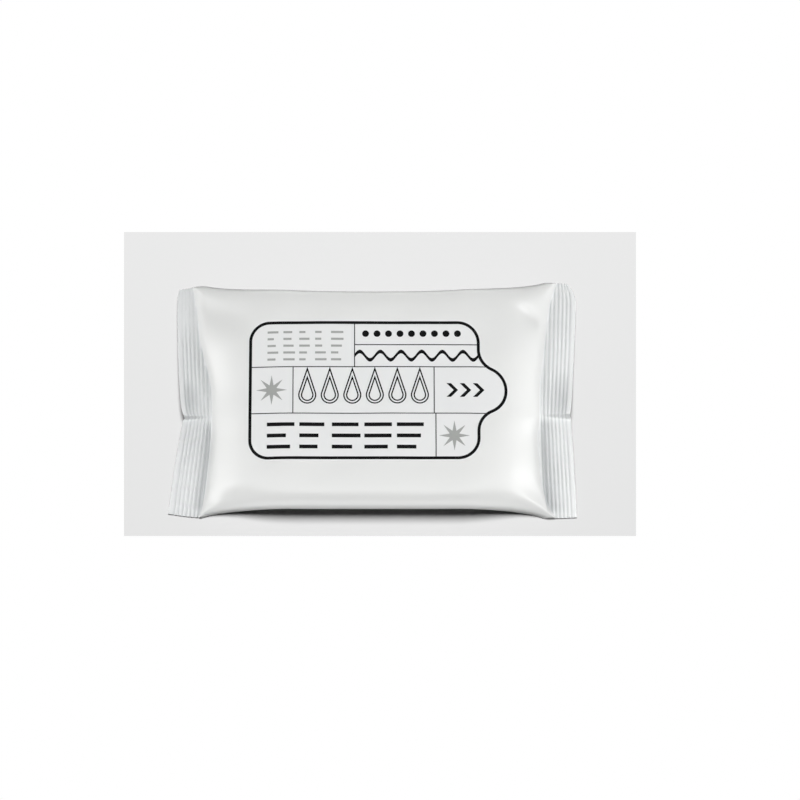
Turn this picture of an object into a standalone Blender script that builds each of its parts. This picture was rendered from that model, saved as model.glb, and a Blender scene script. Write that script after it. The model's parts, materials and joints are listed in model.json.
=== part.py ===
"""A flow-wrapped pocket pack of wet wipes, lying on its back.

One tube of white film is closed by a crimped seal at each end and by a fin seal that is folded flat
along the underside. The soft stack inside fills the tube, so the ends narrow to the flat seals as a
pillow does. A resealable label with a finger tab is stuck over the top, printed in black and grey.

X runs along the pack, Y across it and Z up. The origin is on the surface that the pack lies on.
"""

import math

import bmesh
import bpy
from mathutils import Vector
from mathutils.geometry import delaunay_2d_cdt

# The film tube, in metres
PACK_LENGTH = 0.150
SEAL_SPAN = 0.0892
SPAN_DIFFERENCE = 0.0016
WAIST_WIDTH = 0.082
PACK_HEIGHT = 0.0138
SIDE_LINE_HEIGHT = 0.0062
SIDE_ROUNDING_TOP = 13.0
SIDE_ROUNDING_UNDER = 7.0
EAR_ROUNDING = 2.6

# The slopes down to the end seals, which bulge a little over the seals that they run into
END_SLOPE = 0.0180
END_ROUNDING = 1.55
END_BULGE = 0.0013
HIP_SHARPNESS = 9.0

# The crimped end seals
RIDGE_COUNT = 7
RIDGE_PITCH = 0.0015
RIDGE_HEIGHT = 0.00045
SEAL_LIP = 0.0020
SEAL_THICKNESS = 0.0005
SEAL_HEIGHT = 0.0044
CORNER_HEIGHT = 0.0006
LIP_DROOP = 0.0016
VALLEY_DEPTH = (0.0030, 0.0014)
VALLEY_REACH = 0.0022

# How quickly the sides flare out to the corners of the seals, on the near and on the far side
FLARE = (8.0, 2.4)

# How far the body lies to the near side, and how far the left and the right seal lie to the far side
BODY_OFFSET = -0.00115
SEAL_SHIFT = (0.0, 0.0005)

# How the left and the right seal differ. DRAW is how far the near corner, the tuck and the far corner
# are drawn in, and CURVE how the cut edge runs from the tuck to its near and its far corner. PULL is
# how far the outer corners are pulled in, and CUT how far the far one is rounded, from a share of the
# way out. COVER is how much of the seal the body hides at the near and the far corner, FAR_SHOULDER
# the share of the far cover that starts near the tuck, and NEAR_HOLLOW how far the body stays clear.
LEFT_DRAW = (0.0, 0.0064, 0.0020)
RIGHT_DRAW = (0.0012, 0.0034, 0.0)
LEFT_CURVE = (0.65, 0.32)
RIGHT_CURVE = (0.65, 0.70)
INNER_CURVE = 1.4
INNER_DRAW = 0.5
CORNER_PULL = (0.0015, 0.0004)
CORNER_CUT = (0.0008, 0.0034)
CUT_START = 0.86
LEFT_COVER = (0.0016, 0.0066)
RIGHT_COVER = (0.0048, 0.0054)
FAR_SHOULDER = (0.64, 0.29)
NEAR_HOLLOW = (0.0003, 0.0010)

# The tuck where each end seal has buckled, on the near side of its middle. The far flap rises there,
# and the near one droops and reaches out below it.
TUCK_PLACE = 0.0077
TUCK_DROOP = 0.0020
TUCK_LIFT = 0.0018
TUCK_LAP = (0.0012, 0.0006)
TUCK_SHARPNESS = 0.0004
DROOP_REACH = 0.0080
LIFT_REACH = 0.0130
LAP_REACH = 0.0040

# The dents beside the corners of the stack: place x and y, depth, half length, half width and turn
DENTS = (
    (0.0550, 0.0312, 0.0012, 0.0048, 0.0030, -50),
    (-0.0552, 0.0330, 0.0020, 0.0100, 0.0055, 140),
    (-0.0540, -0.0375, 0.0015, 0.0075, 0.0036, 25),
    (0.0570, -0.0375, 0.0008, 0.0080, 0.0040, -38),
)

# The flat pressed into the far corner of the right end: a point of its plane, and how steeply that
# falls along X and along Y
FACET_PLACE = (0.0504, 0.0317, 0.0130)
FACET_SLOPE = (0.46, 0.33)
FACET_SOFTNESS = 0.0003

# The fin seal along the underside, pressed flush by the weight of the pack
FIN_WIDTH = 0.0100
FIN_THICKNESS = 0.00045
FIN_TENT = 0.0027
FIN_EDGE = 0.0003

# The resealable label
LABEL_LENGTH = 0.0855
LABEL_WIDTH = 0.0535
LABEL_THICKNESS = 0.00015
LABEL_OFFSET_X = -0.0035
LABEL_OFFSET_Y = 0.00035
LABEL_CORNER = 0.0080
LABEL_SHOULDER = 0.0088
TAB_REACH = 0.0100
TAB_RADIUS = 0.0098
TAB_HOLLOW = 0.0070
LAID_GAP = 0.0003

# The print on the label
PRINT_THICKNESS = 0.00010
BORDER_MARGIN = 0.0006
BORDER_WIDTH = 0.0011
RULE_WIDTH = 0.00035
PRINT_MARGIN = 0.0022
MIDDLE_BAND = 0.0176
TEXT_CELL = 0.0380
DROP_HEIGHT = 0.0140
DROP_WIDTH = 0.0066
DROP_LINE = 0.0006
DROP_PITCH = 0.0082
DROP_COUNT = 6
WAVE_HEIGHT = 0.0016
WAVE_LINE = 0.0014
WAVE_COUNT = 6
ROSETTE_RADIUS = 0.0056
PETAL_COUNT = 8

# The print's petals are notched in to this share of their reach
HUB_SHARE = 0.34

# How fast each change comes in along the pack or out along a seal: a power of the distance out, so
# that a higher one keeps the change nearer to the end
DRAW_POWER = 2
EAR_POWER = 4
SHIFT_POWER = 5
DROOP_POWER = 1.2
BUCKLE_POWER = 1.3
PULL_POWER = 1.5
LAP_POWER = 2
CUT_POWER = 4

# The same across the pack, towards the corners
ARCH_POWER = 2.2
COVER_POWER = 6
PULL_SIDE_POWER = 9

# How many times faster than the tube opens the dents, the fin's tent and the ridges' ends come in
DENT_RATE = 2
TENT_RATE = 3
RIDGE_RATE = 12

# The same with distance from the tuck, for the valley, the hollow and the shoulder of the cover
VALLEY_RATE = 3
HOLLOW_RATE = 4
SHOULDER_RATE = 1.8
SHOULDER_START = 0.14

# The share of the pack's half length at which the side line starts to fall to the seal, and how far
# past its sides the flat underside is filled out
FALL_START = 0.5
UNDER_FULLNESS = 1.06

# Worked out from the sizes above
HALF_LENGTH = PACK_LENGTH / 2
HALF_SPAN = SEAL_SPAN / 2
HALF_WAIST = WAIST_WIDTH / 2
SEAL_DEPTH = SEAL_LIP + RIDGE_COUNT * RIDGE_PITCH
BODY_HALF = HALF_LENGTH - SEAL_DEPTH

# How finely the solids are drawn. The stations are shares of the end slope, from the seal inwards, and
# of the body between the slopes. The side angles place the stations round the sides, as on a circle,
# that is laid over the outer share of the half width.
SLOPE_STATIONS = (0.04, 0.09, 0.16, 0.25, 0.36, 0.50, 0.65, 0.82, 1.0)
BODY_STATIONS = (0.84, 0.62, 0.40, 0.20)
SIDE_ANGLES = (82, 75, 67.5, 59, 50, 40.5, 31, 22)
SIDE_SHARE = 0.94
CELL = 0.0085
ARC_STEP = math.radians(15)
WAVE_STEPS = 8
MERGE_DISTANCE = 0.000001
SHARP_ANGLE = math.radians(32)

# Rounds that find the film's (t, s) for a point in plan, and the largest exponent that is taken
FIND_ROUNDS = 12
EXPONENT_LIMIT = 60.0


def clear_scene():
    for obj in list(bpy.data.objects):
        bpy.data.objects.remove(obj)


def paint(name, colour, roughness):
    material = bpy.data.materials.new(name)
    material.use_nodes = True
    shader = material.node_tree.nodes["Principled BSDF"]
    shader.inputs["Base Color"].default_value = (*colour, 1.0)
    shader.inputs["Roughness"].default_value = roughness
    shader.inputs["Metallic"].default_value = 0.0
    return material


def smooth_step(value):
    value = min(1.0, max(0.0, value))
    return value * value * (3 - 2 * value)


def along(t):
    """0 at the middle of the pack and 1 from the inner line of either end seal outwards."""
    return min(1.0, abs(t) / BODY_HALF)


def outwards(t):
    """0 up to the inner line of a seal, then up to 1 at its cut edge."""
    return max(0.0, abs(t) - BODY_HALF) / SEAL_DEPTH


def by_end(t, pair):
    """The value of the left end or of the right end."""
    return pair[0] if t < 0 else pair[1]


def from_tuck(s):
    """Signed distance across the pack from the tuck, for s from -1 at the near side to 1."""
    return s * HALF_SPAN + TUCK_PLACE


def tuck_share(s):
    """0 at the tuck and 1 at either corner of a seal."""
    offset = from_tuck(s)
    reach = HALF_SPAN + TUCK_PLACE if offset > 0 else HALF_SPAN - TUCK_PLACE
    return min(1.0, abs(offset) / reach)


def seal_draw(t, s):
    """How far the seal is drawn in towards the pack, by its corners and the tuck between them."""
    offset = from_tuck(s)
    near, tuck, far = by_end(t, (LEFT_DRAW, RIGHT_DRAW))
    near_curve, far_curve = by_end(t, (LEFT_CURVE, RIGHT_CURVE))
    corner, curve = (far, far_curve) if offset > 0 else (near, near_curve)
    share = tuck_share(s)
    inner = INNER_DRAW * (tuck + (corner - tuck) * share**INNER_CURVE)
    outer = tuck + (corner - tuck) * share**curve
    cut = by_end(t, CORNER_CUT) if offset > 0 else 0.0
    cut *= (max(0.0, share - CUT_START) / (1 - CUT_START)) ** 2
    lap = by_end(t, TUCK_LAP) * (1 - math.tanh(offset / TUCK_SHARPNESS)) / 2
    lap *= math.exp(-abs(offset) / LAP_REACH)
    out = outwards(t)
    return inner + (outer - inner) * out - lap * out**LAP_POWER + cut * out**CUT_POWER


def width_across(t, s):
    """Distance from the middle line to the side line at t, for the film's bend at s."""
    power = FLARE[0] + (FLARE[1] - FLARE[0]) * (s + 1) / 2
    half_span = HALF_SPAN + math.copysign(SPAN_DIFFERENCE / 4, t)
    return HALF_WAIST + (half_span - HALF_WAIST) * along(t) ** power * s * s


def sideways(t):
    """How far the whole cross-section at t lies from the middle of the seals."""
    w = along(t) ** SHIFT_POWER
    return BODY_OFFSET * (1 - w) + by_end(t, SEAL_SHIFT) * w


def swing(t, s):
    """How far the top film of an end slope bulges out over the seal."""
    opened = opening(t, s)
    return 4 * END_BULGE * opened * (1 - opened)


def film_plan(t, s):
    """Where the film point (t, s) lies in plan. t runs along the pack and s across it, from -1 to 1."""
    pull = by_end(t, CORNER_PULL) * s**PULL_SIDE_POWER * outwards(t) ** PULL_POWER
    y = s * width_across(t, s) + sideways(t) - pull
    x = t - math.copysign(seal_draw(t, s) * along(t) ** DRAW_POWER, t)
    return x, y


def opening(t, s):
    """How far the tube has opened along the pack, from 0 in the crimped seal to 1 over the stack."""
    share = min(1.0, max(0.0, -clear_of_body(t, s) / END_SLOPE))
    return 1 - (1 - share) ** END_ROUNDING


def clear_of_body(t, s):
    """Distance out along the seal from where the film of the body covers it."""
    near, far = by_end(t, (LEFT_COVER, RIGHT_COVER))
    share = tuck_share(s)
    if from_tuck(s) > 0:
        shoulder = by_end(t, FAR_SHOULDER)
        rise = smooth_step(SHOULDER_RATE * (share - SHOULDER_START))
        cover = far * (shoulder * rise + (1 - shoulder) * share**COVER_POWER)
    else:
        hollow = by_end(t, NEAR_HOLLOW) * smooth_step(HOLLOW_RATE * share) * (1 - share**2)
        cover = near * share**COVER_POWER - hollow
    return abs(t) - BODY_HALF - cover


def side_curve(s, rounding):
    return math.sqrt(max(0.0, 1 - abs(s) ** rounding))


def swell(t, s, side_rounding):
    """Share of the full height. The side and end slopes meet in soft hips that run to the corners."""
    rounding = side_rounding + (EAR_ROUNDING - side_rounding) * along(t) ** EAR_POWER
    lengthwise = opening(t, s)
    crosswise = side_curve(s, rounding)
    if min(lengthwise, crosswise) <= 0:
        return 0.0
    blend = 2 / (lengthwise**-HIP_SHARPNESS + crosswise**-HIP_SHARPNESS)
    return blend ** (1 / HIP_SHARPNESS)


def dents(x, y):
    """How far the film is pressed in beside the corners of the stack."""
    depth = 0.0
    for place_x, place_y, deepest, half_length, half_width, turn in DENTS:
        cosine = math.cos(math.radians(turn))
        sine = math.sin(math.radians(turn))
        lengthwise = (x - place_x) * cosine + (y - place_y) * sine
        crosswise = (y - place_y) * cosine - (x - place_x) * sine
        depth += deepest * math.exp(-((lengthwise / half_length) ** 2) - (crosswise / half_width) ** 2)
    return depth


def over_facet(x, y, height):
    """How far the film lies over the flat that is pressed into the far corner of the right end."""
    plane = FACET_PLACE[2] - FACET_SLOPE[0] * (x - FACET_PLACE[0]) - FACET_SLOPE[1] * (y - FACET_PLACE[1])
    over = (height - plane) / FACET_SOFTNESS
    return FACET_SOFTNESS * math.log1p(math.exp(min(over, EXPONENT_LIMIT)))


def seal_line(t, s):
    """Height of the sheet where the two films are joined."""
    out = outwards(t)
    height = CORNER_HEIGHT + (SEAL_HEIGHT - CORNER_HEIGHT) * (1 - abs(s) ** ARCH_POWER)
    height -= LIP_DROOP * (1 - s * s) * out**DROOP_POWER
    valley = math.exp(-((clear_of_body(t, s) / VALLEY_REACH) ** 2))
    offset = from_tuck(s)
    depth = VALLEY_DEPTH[1] if offset > 0 else VALLEY_DEPTH[0]
    height -= depth * (1 - s * s) * smooth_step(VALLEY_RATE * tuck_share(s)) * valley
    beyond = (1 + math.tanh(offset / TUCK_SHARPNESS)) / 2
    lift = TUCK_LIFT * beyond * math.exp(-((offset / LIFT_REACH) ** 2))
    droop = TUCK_DROOP * (1 - beyond) * math.exp(-abs(offset) / DROOP_REACH)
    return height + (lift - droop) * out**BUCKLE_POWER


def middle_line(t, s):
    blend = smooth_step((along(t) - FALL_START) / (1 - FALL_START))
    return SIDE_LINE_HEIGHT + (seal_line(t, s) - SIDE_LINE_HEIGHT) * blend


def ridge(t):
    """Height of the crimp's zigzag, which both films share."""
    inward = abs(t) - BODY_HALF
    if inward <= 0 or inward >= SEAL_DEPTH - SEAL_LIP:
        return 0.0
    phase = inward / RIDGE_PITCH % 1
    return RIDGE_HEIGHT * (0.5 - abs(phase - 0.5))


def crimped(opened):
    """1 in the seal, fading out where the tube starts to open."""
    return 1 - smooth_step(opened * RIDGE_RATE)


def film_top(t, s):
    opened = opening(t, s)
    x, y = film_plan(t, s)
    rise = (PACK_HEIGHT - SIDE_LINE_HEIGHT) * swell(t, s, SIDE_ROUNDING_TOP)
    level = middle_line(t, s) + rise
    pressed = dents(x, y) + over_facet(x + math.copysign(swing(t, s), t), y, level)
    level -= pressed * smooth_step(opened * DENT_RATE)
    return level + ridge(t) * crimped(opened) + SEAL_THICKNESS / 2


def fin_tent(y):
    """How far the film stands off the surface beside the two edges of the fin seal."""
    beside = abs(y - BODY_OFFSET) - FIN_WIDTH / 2
    if beside < FIN_EDGE / 2 or beside > FIN_TENT:
        return 0.0
    return FIN_THICKNESS * min(1.0, (FIN_TENT - beside) / (FIN_TENT - FIN_EDGE))


def film_under(t, s):
    opened = opening(t, s)
    fall = SIDE_LINE_HEIGHT * min(1.0, swell(t, s, SIDE_ROUNDING_UNDER) * UNDER_FULLNESS)
    level = middle_line(t, s) - fall - SEAL_THICKNESS / 2
    y = film_plan(t, s)[1]
    return max(0.0, level + ridge(t) * crimped(opened)) + fin_tent(y) * smooth_step(opened * TENT_RATE)


def on_film(x, y):
    """Height of the top film over the plan point (x, y), away from the seals."""
    t = x
    s = 0.0
    for _ in range(FIND_ROUNDS):
        s = (y - sideways(t)) / width_across(t, s)
        s = min(1.0, max(-1.0, s))
        t = x + math.copysign(seal_draw(t, s) * along(t) ** DRAW_POWER - swing(t, s), x)
    return film_top(t, s)


def lengthwise_stations():
    """Stations along the pack: each fold of the ridges, then wider steps over the body."""
    outer = [HALF_LENGTH]
    folds = RIDGE_COUNT * 2
    outer += [BODY_HALF + RIDGE_PITCH * fold / 2 for fold in range(folds, -1, -1)]
    outer += [BODY_HALF - END_SLOPE * share for share in SLOPE_STATIONS]
    outer += [(BODY_HALF - END_SLOPE) * share for share in BODY_STATIONS]
    return [-t for t in outer] + [0.0] + outer[::-1]


def crosswise_stations():
    """Stations across the pack, closest at the round sides, the tuck and the edges of the fin."""
    half = [1.0] + [1 - (1 - math.sin(math.radians(angle))) * SIDE_SHARE for angle in SIDE_ANGLES]
    fin = FIN_WIDTH / 2
    half += [(fin + edge) / HALF_WAIST for edge in (FIN_TENT, FIN_EDGE, 0.0)]
    tuck = [(-TUCK_PLACE + side * TUCK_SHARPNESS) / HALF_SPAN for side in (-1, 1)]
    return sorted([-s for s in half] + half + tuck)


def make_pouch(material):
    """Lofts a ring round the film at each station along the pack, and closes both cut ends."""
    mesh = bmesh.new()
    across = crosswise_stations()
    count = len(across)
    rings = []
    for t in lengthwise_stations():
        ring = []
        for s in across:
            x, y = film_plan(t, s)
            ring.append(mesh.verts.new((x + math.copysign(swing(t, s), t), y, film_top(t, s))))
        for s in reversed(across):
            ring.append(mesh.verts.new((*film_plan(t, s), film_under(t, s))))
        rings.append(ring)
    for ring, following in zip(rings, rings[1:]):
        for i in range(2 * count):
            j = (i + 1) % (2 * count)
            mesh.faces.new((ring[i], ring[j], following[j], following[i]))
    for ring in (rings[0], rings[-1]):
        for i in range(count - 1):
            under = 2 * count - 1 - i
            mesh.faces.new((ring[i], ring[i + 1], ring[under - 1], ring[under]))
    bmesh.ops.recalc_face_normals(mesh, faces=mesh.faces)
    return finish_solid("pouch", mesh, material)


def finish_solid(name, mesh, material):
    data = bpy.data.meshes.new(name)
    mesh.to_mesh(data)
    mesh.free()
    data.materials.append(material)
    data.shade_smooth()
    data.set_sharp_from_angle(angle=SHARP_ANGLE)
    obj = bpy.data.objects.new(name, data)
    bpy.context.scene.collection.objects.link(obj)
    return obj


def arc(centre, radius, start, end):
    """Points on an arc, with both ends, from one angle to the other in radians."""
    steps = max(2, math.ceil(abs(end - start) / ARC_STEP))
    points = []
    for step in range(steps + 1):
        angle = start + (end - start) * step / steps
        points.append((centre[0] + radius * math.cos(angle), centre[1] + radius * math.sin(angle)))
    return points


def label_outline(inset):
    """The label's cut edge, or a line at an even distance inside it, anticlockwise from the tab."""
    right = LABEL_LENGTH / 2 + LABEL_OFFSET_X
    left = right - LABEL_LENGTH
    half = LABEL_WIDTH / 2
    reach = TAB_RADIUS + TAB_HOLLOW
    hollow_y = math.sqrt(TAB_REACH * (2 * reach - TAB_REACH))
    tab_x = right + TAB_REACH - TAB_RADIUS
    turn = math.atan2(hollow_y, right + TAB_HOLLOW - tab_x)
    upper = arc((tab_x, 0), TAB_RADIUS - inset, 0, turn)
    upper += arc((right + TAB_HOLLOW, hollow_y), TAB_HOLLOW + inset, turn + math.pi, math.pi)[1:]
    shoulder = (right - LABEL_SHOULDER, half - LABEL_SHOULDER)
    upper += arc(shoulder, LABEL_SHOULDER - inset, 0, math.pi / 2)
    corner = (left + LABEL_CORNER, half - LABEL_CORNER)
    upper += arc(corner, LABEL_CORNER - inset, math.pi / 2, math.pi)
    lower = [(x, -y) for x, y in reversed(upper[1:])]
    return [(x, y + LABEL_OFFSET_Y) for x, y in upper + lower]


def anticlockwise(shape):
    area = 0.0
    for i, point in enumerate(shape):
        area += shape[i - 1][0] * point[1] - point[0] * shape[i - 1][1]
    return shape if area > 0 else shape[::-1]


def flat_mesh(shapes):
    """Joins overlapping flat polygons into one mesh, cut into cells so that it can bend."""
    points = []
    faces = []
    for shape in shapes:
        faces.append(list(range(len(points), len(points) + len(shape))))
        points += [Vector(point) for point in anticlockwise(shape)]
    edges = []
    for axis, reach in ((0, HALF_LENGTH), (1, HALF_SPAN)):
        cuts = math.floor(reach / CELL)
        for cut in range(-cuts, cuts + 1):
            for end in (-HALF_LENGTH, HALF_LENGTH):
                point = [end, end]
                point[axis] = cut * CELL
                points.append(Vector(point))
            edges.append((len(points) - 2, len(points) - 1))
    every_triangle = 0
    joined = delaunay_2d_cdt(points, edges, faces, every_triangle, MERGE_DISTANCE)
    places, triangles, shapes_covered = joined[0], joined[2], joined[5]
    mesh = bmesh.new()
    used = {}
    for triangle, covered in zip(triangles, shapes_covered):
        if not covered:
            continue
        for index in triangle:
            if index not in used:
                used[index] = mesh.verts.new((*places[index], 0.0))
        mesh.faces.new([used[index] for index in triangle])
    return mesh


def lay_on_film(name, shapes, lift, thickness, material):
    """Makes flat shapes into a plate that follows the film, a set height above it."""
    mesh = flat_mesh(shapes)
    raised = bmesh.ops.extrude_face_region(mesh, geom=list(mesh.faces))
    moved = [item for item in raised["geom"] if isinstance(item, bmesh.types.BMVert)]
    bmesh.ops.translate(mesh, verts=moved, vec=(0, 0, thickness))
    for vert in mesh.verts:
        vert.co.z += on_film(vert.co.x, vert.co.y) + lift
    bmesh.ops.recalc_face_normals(mesh, faces=mesh.faces)
    return finish_solid(name, mesh, material)


def band(outer, inner):
    """A closed strip between two outlines that have the same number of points."""
    count = len(outer)
    return [
        (outer[i], outer[(i + 1) % count], inner[(i + 1) % count], inner[i]) for i in range(count)
    ]


def bar(start, end, width):
    """A straight strip from one point to the other."""
    length = math.dist(start, end)
    side_x = -(end[1] - start[1]) / length * width / 2
    side_y = (end[0] - start[0]) / length * width / 2
    return [
        (start[0] - side_x, start[1] - side_y),
        (end[0] - side_x, end[1] - side_y),
        (end[0] + side_x, end[1] + side_y),
        (start[0] + side_x, start[1] + side_y),
    ]


def drop_outline(tip, width, height):
    """A water drop that hangs from its tip."""
    radius = width / 2
    round_centre = (tip[0], tip[1] - height + radius)
    lean = math.asin(radius / (tip[1] - round_centre[1]))
    return [tip] + arc(round_centre, radius, math.pi - lean, 2 * math.pi + lean)


def hanging_drop(tip):
    """A drop drawn as a line. Both outlines have the same lean, so that their points pair up."""
    outer = drop_outline(tip, DROP_WIDTH, DROP_HEIGHT)
    scale = 1 - 2 * DROP_LINE / DROP_WIDTH
    height = DROP_HEIGHT * scale
    inner_tip = (tip[0], tip[1] - DROP_HEIGHT + DROP_LINE + height)
    inner = drop_outline(inner_tip, DROP_WIDTH * scale, height)
    return band(outer, inner)


def wave(start, end_x, height):
    """A smooth wavy line, as strips from one crossing point to the next."""
    count = WAVE_COUNT * WAVE_STEPS
    spine = []
    for i in range(count + 1):
        x = start[0] + (end_x - start[0]) * i / count
        spine.append((x, start[1] + height * math.sin(2 * math.pi * i / WAVE_STEPS)))
    half = WAVE_LINE / 2
    return [
        (
            (spine[i][0], spine[i][1] - half),
            (spine[i + 1][0], spine[i + 1][1] - half),
            (spine[i + 1][0], spine[i + 1][1] + half),
            (spine[i][0], spine[i][1] + half),
        )
        for i in range(count)
    ]


def rosette(centre):
    """A flower of pointed petals that meet in the middle."""
    outline = []
    hub = ROSETTE_RADIUS * HUB_SHARE
    for i in range(2 * PETAL_COUNT):
        radius = hub if i % 2 else ROSETTE_RADIUS
        angle = math.pi * i / PETAL_COUNT
        outline.append((centre[0] + radius * math.cos(angle), centre[1] + radius * math.sin(angle)))
    return outline


class PrintPlan:
    """The places of the label's bands and cells, worked out from its own sizes."""

    def __init__(self):
        frame = BORDER_MARGIN + BORDER_WIDTH / 2
        right = LABEL_LENGTH / 2 + LABEL_OFFSET_X
        self.left = right - LABEL_LENGTH + frame
        self.right = right - frame
        self.middle = LABEL_OFFSET_Y
        self.top = self.middle + LABEL_WIDTH / 2 - frame
        self.bottom = self.middle - LABEL_WIDTH / 2 + frame
        self.upper = self.middle + MIDDLE_BAND / 2
        self.lower = self.middle - MIDDLE_BAND / 2
        rosette_cell = 2 * (ROSETTE_RADIUS + PRINT_MARGIN)
        self.rosette_wall = self.left + rosette_cell
        self.drops_wall = self.rosette_wall + DROP_PITCH * DROP_COUNT + PRINT_MARGIN
        self.text_wall = self.left + TEXT_CELL
        self.low_wall = self.right - rosette_cell
        self.half_row = (self.top + self.upper) / 2


def black_shapes(plan):
    """The border, the rules that part the label into cells, the hanging drops and the waves."""
    shapes = band(label_outline(BORDER_MARGIN), label_outline(BORDER_MARGIN + BORDER_WIDTH))
    for height in (plan.upper, plan.lower):
        end_x = plan.right + TAB_HOLLOW / 2
        shapes.append(bar((plan.left, height), (end_x, height), RULE_WIDTH))
    for x in (plan.rosette_wall, plan.drops_wall):
        shapes.append(bar((x, plan.lower), (x, plan.upper), RULE_WIDTH))
    shapes.append(bar((plan.text_wall, plan.upper), (plan.text_wall, plan.top), RULE_WIDTH))
    row = (plan.text_wall, plan.half_row), (plan.right, plan.half_row)
    shapes.append(bar(*row, RULE_WIDTH))
    shapes.append(bar((plan.low_wall, plan.bottom), (plan.low_wall, plan.lower), RULE_WIDTH))
    first = plan.rosette_wall + PRINT_MARGIN / 2 + DROP_PITCH / 2
    for i in range(DROP_COUNT):
        shapes += hanging_drop((first + i * DROP_PITCH, plan.upper))
    wave_y = (plan.half_row + plan.upper) / 2
    shapes += wave((plan.text_wall, wave_y), plan.right, WAVE_HEIGHT)
    return shapes


clear_scene()

white_film = paint("white_film", (0.84, 0.86, 0.85), 0.42)
label_film = paint("label_film", (0.87, 0.88, 0.88), 0.38)
black_ink = paint("black_ink", (0.012, 0.012, 0.013), 0.40)
grey_ink = paint("grey_ink", (0.38, 0.40, 0.38), 0.42)

make_pouch(white_film)

lay_on_film("reseal_label", [label_outline(0.0)], LAID_GAP, LABEL_THICKNESS, label_film)

plan = PrintPlan()
print_lift = LAID_GAP + LABEL_THICKNESS + LAID_GAP
lay_on_film("label_black_print", black_shapes(plan), print_lift, PRINT_THICKNESS, black_ink)
left_flower = (plan.left + ROSETTE_RADIUS + PRINT_MARGIN, plan.middle)
lay_on_film("grey_flower_left", [rosette(left_flower)], print_lift, PRINT_THICKNESS, grey_ink)
right_flower = (plan.low_wall + ROSETTE_RADIUS + PRINT_MARGIN / 2, (plan.lower + plan.bottom) / 2)
lay_on_film("grey_flower_right", [rosette(right_flower)], print_lift, PRINT_THICKNESS, grey_ink)
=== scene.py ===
import json
import math

import bmesh
import bpy
import numpy as np
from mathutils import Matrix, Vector
from mathutils.geometry import delaunay_2d_cdt

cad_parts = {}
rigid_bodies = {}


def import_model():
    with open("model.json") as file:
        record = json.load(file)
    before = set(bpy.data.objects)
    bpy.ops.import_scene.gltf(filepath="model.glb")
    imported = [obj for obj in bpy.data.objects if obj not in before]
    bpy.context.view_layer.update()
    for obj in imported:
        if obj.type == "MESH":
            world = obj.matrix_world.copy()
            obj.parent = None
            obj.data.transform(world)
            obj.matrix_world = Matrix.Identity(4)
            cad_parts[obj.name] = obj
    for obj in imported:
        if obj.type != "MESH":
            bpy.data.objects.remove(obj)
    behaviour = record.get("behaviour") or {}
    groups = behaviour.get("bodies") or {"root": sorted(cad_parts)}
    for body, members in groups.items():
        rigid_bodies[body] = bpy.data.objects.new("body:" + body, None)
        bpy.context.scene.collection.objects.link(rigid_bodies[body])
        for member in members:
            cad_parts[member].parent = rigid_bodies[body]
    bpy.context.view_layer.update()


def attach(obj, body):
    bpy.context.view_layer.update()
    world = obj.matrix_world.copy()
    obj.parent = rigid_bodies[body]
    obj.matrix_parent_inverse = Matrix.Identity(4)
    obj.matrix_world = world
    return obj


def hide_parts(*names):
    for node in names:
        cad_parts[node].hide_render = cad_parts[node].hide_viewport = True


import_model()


# The film pouch
# One tube of white laminated film, wrapped round a folded stack of wipes by a flow-wrapping machine.
# Hot jaws have crimped both ends flat, and the stack holds the tube open between them like a pillow.
# Both crimped ends have buckled where the pack was handled, on the near side of their middle.

# The whole pack. Its seals span more than its waist, and the right one SPAN_DIFFERENCE more than the left.
PACK_LENGTH = 0.150
SEAL_SPAN = 0.0892
SPAN_DIFFERENCE = 0.0016
WAIST_WIDTH = 0.082
PACK_HEIGHT = 0.0138
SIDE_LINE_HEIGHT = 0.0062

# The seals: seven ridges, a plain lip outside them, and the height of the joint of the two films
RIDGE_COUNT = 7
RIDGE_PITCH = 0.0015
RIDGE_HEIGHT = 0.00050
SEAL_LIP = 0.0020
SEAL_THICKNESS = 0.0005
SEAL_HEIGHT = 0.0044
CORNER_HEIGHT = 0.0004
ARCH_POWER = 2.2
LIP_DROOP = 0.0016
DROOP_POWER = 1.2

HALF_LENGTH = PACK_LENGTH / 2
HALF_SPAN = SEAL_SPAN / 2
HALF_WAIST = WAIST_WIDTH / 2
SEAL_DEPTH = SEAL_LIP + RIDGE_COUNT * RIDGE_PITCH
BODY_HALF = HALF_LENGTH - SEAL_DEPTH

# The pillow: a higher rounding makes a squarer side, and a higher power keeps a change nearer the end
SIDE_ROUNDING_TOP = 13.0
SIDE_ROUNDING_UNDER = 7.0
UNDER_FULLNESS = 1.06
EAR_ROUNDING = 2.6
EAR_POWER = 4
END_SLOPE = 0.0180
END_ROUNDING = 1.55
END_BULGE = 0.0013
HIP_SHARPNESS = 9.0
JOINT_FALL_START = 0.5
NEARLY_CLOSED = 0.00001
NEAR_FLARE_POWER = 8.0
FAR_FLARE_POWER = 2.4
BODY_OFFSET = -0.00115
SHIFT_POWER = 5

# Where no comment says otherwise, a pair gives the left end and the right end.
SEAL_SHIFT = (0.0, 0.0005)
CORNER_PULL = (0.0015, 0.0004)
PULL_SIDE_POWER = 9
PULL_POWER = 1.5

# How far the near corner, the tuck and the far corner of each cut edge are drawn in, and along what curve
NEAR_DRAW = (0.0, 0.0012)
TUCK_DRAW = (0.0064, 0.0034)
FAR_DRAW = (0.0020, 0.0)
NEAR_CURVE = (0.65, 0.65)
FAR_CURVE = (0.32, 0.70)
INNER_CURVE = 1.4
INNER_SHARE = 0.5
DRAW_POWER = 2
CORNER_CUT = (0.0008, 0.0034)
CUT_START = 0.86
CUT_POWER = 4

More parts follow.
